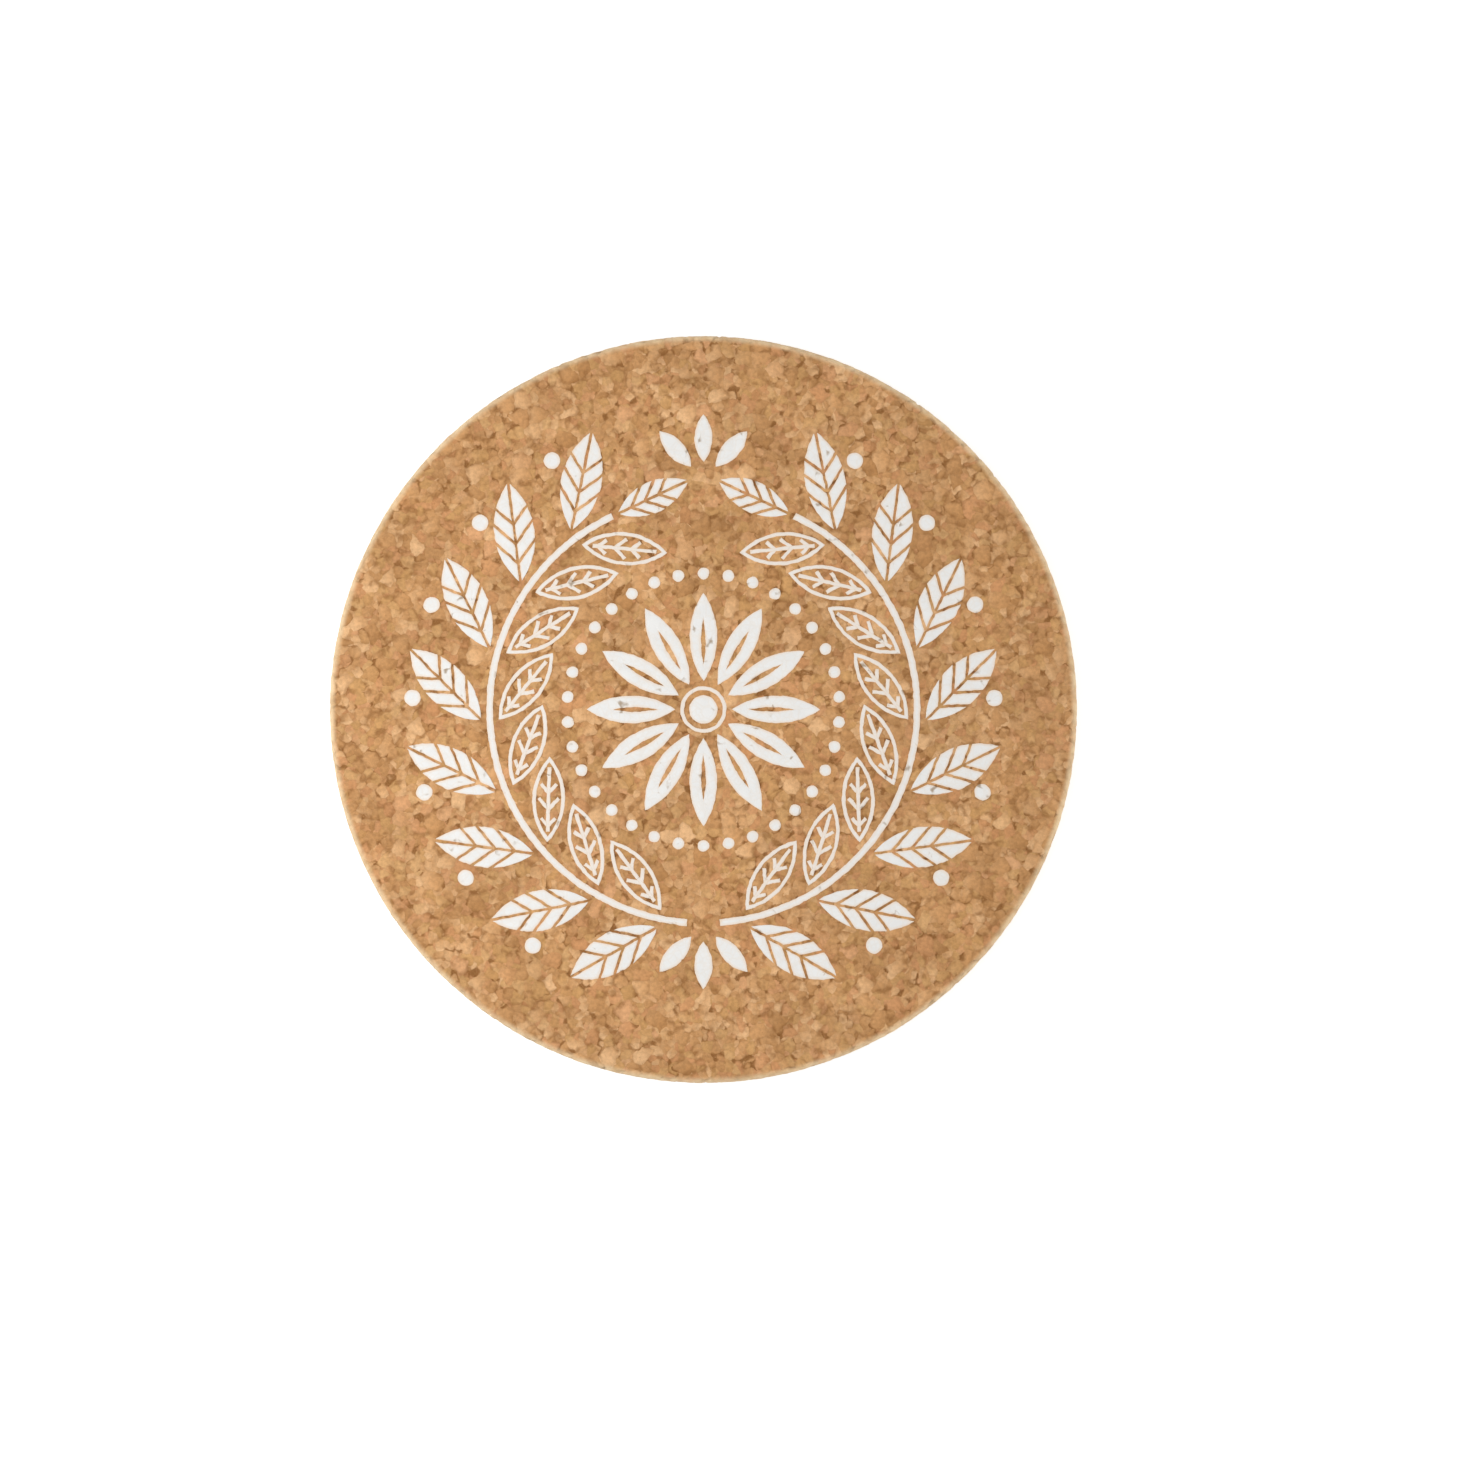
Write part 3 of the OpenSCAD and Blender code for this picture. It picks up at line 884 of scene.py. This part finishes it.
def lens_loop(long, wide, count, inset=0.0):
    """Points round a pointed oval along +X: two arcs that meet at its tips, drawn in by inset."""
    radius = arc_radius(long, wide)
    rise = radius - wide / 2
    reach = math.acos(rise / (radius - inset))
    turn = np.linspace(-reach, reach, count, endpoint=False)
    x = (radius - inset) * np.sin(turn)
    y = (radius - inset) * np.cos(turn) - rise
    return np.concatenate([np.column_stack([long / 2 + x, -y]), np.column_stack([long / 2 - x, y])])


def band(inner, outer, cells):
    """Patch between two loops of as many points: straight lines from the inner to the outer one."""
    part = np.linspace(0, 1, cells + 1)[:, None]
    return (inner[:, None] * (1 - part) + outer[:, None] * part)[None]


def round_patch(diameter):
    """Patch of a filled circle, on a square grid bent into rings."""
    rings = max(2, steps(diameter) // 2)
    ring, turn = ring_grid(rings)
    radius = diameter / 2 * ring / rings
    return (radius[..., None] * directions(turn))[None]


def lens_patch(long, wide):
    """Patch of a filled pointed oval along +X: lines across it, as long as the two arcs leave them."""
    radius = arc_radius(long, wide)
    blunt = bpy.context.scene.coaster_ink.edge_t
    x = np.linspace(blunt, long - blunt, steps(long) + 1)
    half = np.sqrt(radius**2 - (x - long / 2) ** 2) - (radius - wide / 2)
    part = np.linspace(-1, 1, steps(wide) + 1)
    return np.stack(np.broadcast_arrays(x[:, None], half[:, None] * part), -1)[None]


def vein_feet(long):
    """Places along a leaf's midrib where its side veins leave it: even steps over the vein zone."""
    sizes = bpy.context.scene.coaster_print
    return long * sizes.vein_zone * np.arange(1, sizes.side_veins + 1) / sizes.side_veins


def vein_reach(long, wide, x, y, inset):
    """Length of a side vein from a place near the midrib to a line drawn inset from the leaf's edge.

    That line is an arc, so the length solves a quadratic equation.
    """
    tilt = bpy.context.scene.coaster_print.vein_tilt
    radius = arc_radius(long, wide)
    back = x - long / 2
    rise = radius - wide / 2 + y
    run = back * math.cos(tilt) + rise * math.sin(tilt)
    room = (radius - inset) ** 2 - back**2 - rise**2
    return np.sqrt(np.maximum(run**2 + room, 0)) - run


def lobe_patches(long, wide):
    """Patches of a solid leaf along +X that is opened by a bare midrib and bare side veins.

    A lobe is filled by lines that run beside its veins, from the midrib's slit to the edge of the leaf.
    """
    sizes = bpy.context.scene.coaster_print
    tilt = sizes.vein_tilt
    half_slit = sizes.slit_w / 2
    blunt = bpy.context.scene.coaster_ink.edge_t
    radius = arc_radius(long, wide)
    tip = long / 2 - math.sqrt(radius**2 - (radius - wide / 2 + half_slit) ** 2)
    # Where the sides of the veins' slits meet the side of the midrib's slit
    middle = vein_feet(long) + half_slit / math.tan(tilt)
    aside = half_slit / math.sin(tilt)
    first = np.concatenate([[tip + blunt], middle + aside])
    last = np.concatenate([middle - aside, [long - tip - blunt]])
    rows = steps(long / (sizes.side_veins + 1))
    x = first[:, None] + (last - first)[:, None] * np.linspace(0, 1, rows + 1)
    reach = np.maximum(vein_reach(long, wide, x, half_slit, 0), blunt)
    out = np.linspace(0, 1, steps(wide * LOBE_REACH) + 1) * reach[..., None]
    half = np.stack([x[..., None] + out * math.cos(tilt), half_slit + out * math.sin(tilt)], -1)
    return np.concatenate([half, half * (1, -1)])


def strip_patch(start, end, width, cells, slant=0.0):
    """Patch of a straight line along +X, whose start is cut at the slant's slope."""
    part = np.linspace(0, 1, cells + 1)[:, None]
    side = np.linspace(-width / 2, width / 2, steps(width) + 1)
    x = (start - side * slant) * (1 - part) + end * part
    return np.stack(np.broadcast_arrays(x, side), -1)[None]


class CoasterOperator:
    """What all operators share"""

    bl_options = {"REGISTER", "UNDO"}


class COASTER_OT_cork_disc(CoasterOperator, bpy.types.Operator):
    """Build the disc of pressed cork granules, with its relief and eased edges"""

    bl_idname = "coaster.cork_disc"
    bl_label = "Cork Disc"

    def execute(self, context):
        cork = context.scene.coaster_cork
        wall = DISC_T - cork.top_round - cork.bottom_round
        upper = edge_profile(TOP_RINGS, cork.top_round, TOP_EDGE_RINGS, wall * TOP_WALL, TOP_WALL_RINGS)
        lower = edge_profile(BOTTOM_RINGS, cork.bottom_round, BOTTOM_EDGE_RINGS,
                             wall * BOTTOM_WALL, BOTTOM_WALL_RINGS)
        points, normals, places = (np.concatenate(pair) for pair in zip(
            half_disc(TOP_RINGS, upper, DISC_T, 1), half_disc(BOTTOM_RINGS, lower, 0.0, -1)))
        points = points + normals * read_grain(points)[0][:, None]
        top_side = 2 * TOP_RINGS + 1
        bottom_side = 2 * BOTTOM_RINGS + 1
        belt = belt_faces(top_side, bottom_side)
        faces = [
            grid_faces(top_side, top_side),
            grid_faces(bottom_side, bottom_side)[:, ::-1] + top_side**2,
            belt,
        ]
        piece = new_piece("cork_disc.pressed", points, faces, cork_material(cork), "cork_disc")
        lay_map(piece.data, places, top_side**2, belt, wall * (1 - TOP_WALL - BOTTOM_WALL))
        return {"FINISHED"}


class COASTER_OT_stems(CoasterOperator, bpy.types.Operator):
    """Print the stems of the two branches"""

    bl_idname = "coaster.stems"
    bl_label = "Stems"

    def execute(self, context):
        plan = print_plan()
        width = plan.sizes.stem_w
        cells = steps(plan.stem_r * (plan.stem_end - plan.stem_start))
        turn = np.linspace(plan.stem_start, plan.stem_end, cells + 1)
        radius = plan.stem_r + np.linspace(-width / 2, width / 2, steps(width) + 1)
        patch = (radius[:, None] * directions(turn)[:, None])[None]
        film("printed_stems", np.concatenate([patch, patch * (-1, 1)]))
        return {"FINISHED"}


class COASTER_OT_solid_leaves(CoasterOperator, bpy.types.Operator):
    """Print the solid leaves on the outer side of the branches and at their tips"""

    bl_idname = "coaster.solid_leaves"
    bl_label = "Solid Leaves"

    def execute(self, context):
        plan = print_plan()
        sizes = plan.sizes
        leaf = lobe_patches(sizes.solid_leaf_len, sizes.solid_leaf_w)
        turn = math.pi / 2 - sizes.leaf_tilt
        film("printed_solid_leaves", placed(leaf, plan.outer_foot_r, plan.leaf_angles, turn, both=True))
        tip = placed(lobe_patches(sizes.tip_leaf_len, sizes.tip_leaf_w), sizes.mark_gap, 0, 0)
        film("printed_tip_leaves", placed(tip, plan.stem_r, plan.stem_end, math.pi / 2, both=True))
        return {"FINISHED"}


class COASTER_OT_outlined_leaves(CoasterOperator, bpy.types.Operator):
    """Print the outlined leaves on the inner side of the branches, with their veins"""

    bl_idname = "coaster.outlined_leaves"
    bl_label = "Outlined Leaves"

    def execute(self, context):
        plan = print_plan()
        sizes = plan.sizes
        long, wide = sizes.outline_leaf_len, sizes.outline_leaf_w
        spots = (plan.inner_foot_r, plan.leaf_angles, math.pi / 2 + sizes.leaf_tilt)
        inner = lens_loop(long, wide, steps(long), sizes.line_w)
        outline = band(inner, lens_loop(long, wide, steps(long)), steps(sizes.line_w))
        film("printed_leaf_outlines", placed(outline, *spots, both=True), loop=True)

        tip_angle = math.asin(long / 2 / arc_radius(long, wide))
        start = inner[0, 0] + (sizes.line_w / 2 + sizes.slit_w) / math.tan(tip_angle)
        cells = steps(long - 2 * start)
        veins = [strip_patch(start, long - start, sizes.line_w, cells)]
        # A side vein starts inside the midrib, halfway from its middle to its side
        root = sizes.line_w / 4 / math.sin(sizes.vein_tilt)
        slant = 1 / math.tan(sizes.vein_tilt)
        feet = vein_feet(long)
        reach = vein_reach(long, wide, feet, 0, sizes.line_w + sizes.slit_w)
        for foot, end in zip(feet, reach):
            line = strip_patch(root, end, sizes.line_w, cells, slant)
            vein = placed(line, foot, 0, sizes.vein_tilt)
            veins += [vein, vein * (1, -1)]
        film("printed_leaf_veins", placed(np.concatenate(veins), *spots, both=True))
        return {"FINISHED"}


class COASTER_OT_fans(CoasterOperator, bpy.types.Operator):
    """Print the small fans of leaves at the top and the foot of the wreath"""

    bl_idname = "coaster.fans"
    bl_label = "Leaf Fans"

    def execute(self, context):
        plan = print_plan()
        sizes = plan.sizes
        spread = (np.arange(sizes.fan_leaves) - (sizes.fan_leaves - 1) / 2) * sizes.leaf_tilt
        fan = placed(lens_patch(sizes.fan_leaf_len, sizes.fan_leaf_w), sizes.fan_leaf_w, spread, 0)
        film("printed_fan_leaves", np.concatenate([
            placed(fan, plan.tip_r, math.pi / 2, 0), placed(fan, plan.stem_r, -math.pi / 2, 0)]))
        return {"FINISHED"}


class COASTER_OT_dots(CoasterOperator, bpy.types.Operator):
    """Print the berries, the ring of beads and the eye of the rosette"""

    bl_idname = "coaster.dots"
    bl_label = "Berries, Beads and Eye"

    def execute(self, context):
        plan = print_plan()
        berry = round_patch(plan.sizes.berry_d)
        film("printed_berries", placed(berry, plan.berry_r, plan.berry_angles, 0, both=True))
        film("printed_beads", placed(round_patch(plan.sizes.bead_d), plan.bead_r, plan.bead_angles, 0))
        film("printed_eye", round_patch(plan.sizes.eye_d))
        return {"FINISHED"}


class COASTER_OT_rosette(CoasterOperator, bpy.types.Operator):
    """Print the slit petals of the rosette and the ring round its eye"""

    bl_idname = "coaster.rosette"
    bl_label = "Rosette"

    def execute(self, context):
        plan = print_plan()
        sizes = plan.sizes
        count = steps(plan.petal_len)
        slit = lens_loop(plan.petal_len * sizes.petal_slit_len, sizes.petal_slit_w, count)
        slit = slit + (plan.petal_len * sizes.petal_slit_foot, 0)
        petal = band(slit, lens_loop(plan.petal_len, plan.petal_w, count), steps(plan.petal_w / 2))
        film("printed_petals", placed(petal, plan.petal_foot_r, plan.petal_angles, 0), loop=True)

        turn = np.linspace(0, 2 * math.pi, steps(2 * math.pi * plan.eye_ring_r), endpoint=False)
        inner = directions(turn) * plan.eye_ring_r
        outer = directions(turn) * (plan.eye_ring_r + sizes.line_w)
        film("printed_eye_ring", band(inner, outer, steps(sizes.line_w)), loop=True)
        return {"FINISHED"}


class COASTER_OT_stage(CoasterOperator, bpy.types.Operator):
    """Set up the camera, the pale floor and the soft light"""

    bl_idname = "coaster.stage"
    bl_label = "Stage"

    def execute(self, context):
        scene = context.scene
        stage = scene.coaster_stage
        scene.view_settings.view_transform = "Standard"
        self.camera(scene, stage)
        self.floor(stage)
        self.light(scene, stage)
        return {"FINISHED"}

    def camera(self, scene, stage):
        """A camera straight above, at the height from which the frame is as wide as it should be."""
        data = bpy.data.cameras.new("camera")
        data.lens = stage.lens
        height = stage.frame_w * data.lens / data.sensor_width
        scene.camera = new_object("camera", data)
        scene.camera.location = (stage.camera_x, stage.camera_y, INK_TOP + height)

    def nodes(self, block):
        """The emptied nodes of a material or a world."""
        block.use_nodes = True
        block.node_tree.nodes.clear()
        return Graph(block.node_tree)

    def seen(self, graph):
        """1 for a ray from the camera, also by way of gloss or glass, and otherwise 0."""
        path = graph.add("ShaderNodeLightPath").outputs
        gloss = graph.math("MAXIMUM", path["Is Glossy Ray"], path["Is Transmission Ray"])
        return graph.math("MAXIMUM", path["Is Camera Ray"], gloss)

    def floor(self, stage):
        """A wide flat floor that throws back most light, and looks white where nothing shades it."""
        r = stage.floor_r
        mesh = bpy.data.meshes.new("floor")
        mesh.from_pydata([(-r, -r, 0), (r, -r, 0), (r, r, 0), (-r, r, 0)], [], [(0, 1, 2, 3)])
        material = bpy.data.materials.new("pale_floor")
        graph = self.nodes(material)
        matte = graph.add("ShaderNodeBsdfDiffuse", (*[stage.floor_white] * 3, 1))
        glow = graph.add("ShaderNodeEmission", (1, 1, 1, 1), stage.floor_glow)
        pale = graph.add("ShaderNodeAddShader", matte.outputs[0], glow.outputs[0])
        both = graph.add("ShaderNodeMixShader", self.seen(graph), matte.outputs[0], pale.outputs[0])
        graph.add("ShaderNodeOutputMaterial", both.outputs[0])
        mesh.materials.append(material)
        floor = new_object("floor", mesh)

    def light(self, scene, stage):
        """Even light from all sides, a soft lamp to the left, and a low weak one to the right."""
        scene.world = bpy.data.worlds.new("studio")
        graph = self.nodes(scene.world)
        sky = graph.add("ShaderNodeBackground", (1, 1, 1, 1), stage.sky)
        backdrop = graph.add("ShaderNodeBackground", (1, 1, 1, 1), 1.0)
        both = graph.add("ShaderNodeMixShader", self.seen(graph), sky.outputs[0], backdrop.outputs[0])
        graph.add("ShaderNodeOutputWorld", both.outputs[0])
        self.lamp("soft_lamp", stage.lamp_at, stage.lamp_size, stage.lamp)
        self.lamp("fill_lamp", stage.fill_at, stage.fill_size, stage.fill)

    def lamp(self, name, place, size, part):
        """A square lamp that faces the coaster and adds this part of white on its face.

        Its power grows with the square of the distance and the slant of its light. Pictures leave it out.
        """
        away = Vector(place) - Vector((0, 0, DISC_T))
        data = bpy.data.lights.new(name, "AREA")
        data.size = size
        data.energy = part * math.pi**2 * away.length_squared / away.normalized().z
        lamp = new_object(name, data)
        lamp.location = place
        lamp.rotation_mode = "QUATERNION"
        lamp.rotation_quaternion = away.to_track_quat("Z", "Y")
        lamp.visible_camera = False


class COASTER_PT_sidebar(bpy.types.Panel):
    """Sidebar with every step of the coaster and its settings"""

    bl_idname = "COASTER_PT_sidebar"
    bl_label = "Cork Coaster"
    bl_space_type = "VIEW_3D"
    bl_region_type = "UI"
    bl_category = "Coaster"

    def draw(self, context):
        for operator in OPERATORS:
            self.layout.operator(operator.bl_idname)
        for name in SETTINGS:
            group = getattr(context.scene, name)
            box = self.layout.box()
            for key in group.__annotations__:
                box.prop(group, key)


SETTINGS = {
    "coaster_cork": CoasterCork,
    "coaster_print": CoasterPrint,
    "coaster_ink": CoasterInk,
    "coaster_stage": CoasterStage,
}
OPERATORS = (
    COASTER_OT_stage,
    COASTER_OT_cork_disc,
    COASTER_OT_stems,
    COASTER_OT_solid_leaves,
    COASTER_OT_outlined_leaves,
    COASTER_OT_fans,
    COASTER_OT_dots,
    COASTER_OT_rosette,
)


def register():
    for group in (*SETTINGS.values(), *OPERATORS, COASTER_PT_sidebar):
        bpy.utils.register_class(group)
    for name, group in SETTINGS.items():
        setattr(bpy.types.Scene, name, PointerProperty(type=group))


def unregister():
    for name in SETTINGS:
        delattr(bpy.types.Scene, name)
    for group in (COASTER_PT_sidebar, *reversed(OPERATORS), *reversed(SETTINGS.values())):
        bpy.utils.unregister_class(group)


def main():
    register()
    bpy.ops.coaster.stage()
    bpy.ops.coaster.cork_disc()
    bpy.ops.coaster.stems()
    bpy.ops.coaster.solid_leaves()
    bpy.ops.coaster.outlined_leaves()
    bpy.ops.coaster.fans()
    bpy.ops.coaster.dots()
    bpy.ops.coaster.rosette()


if __name__ == "__main__":
    main()
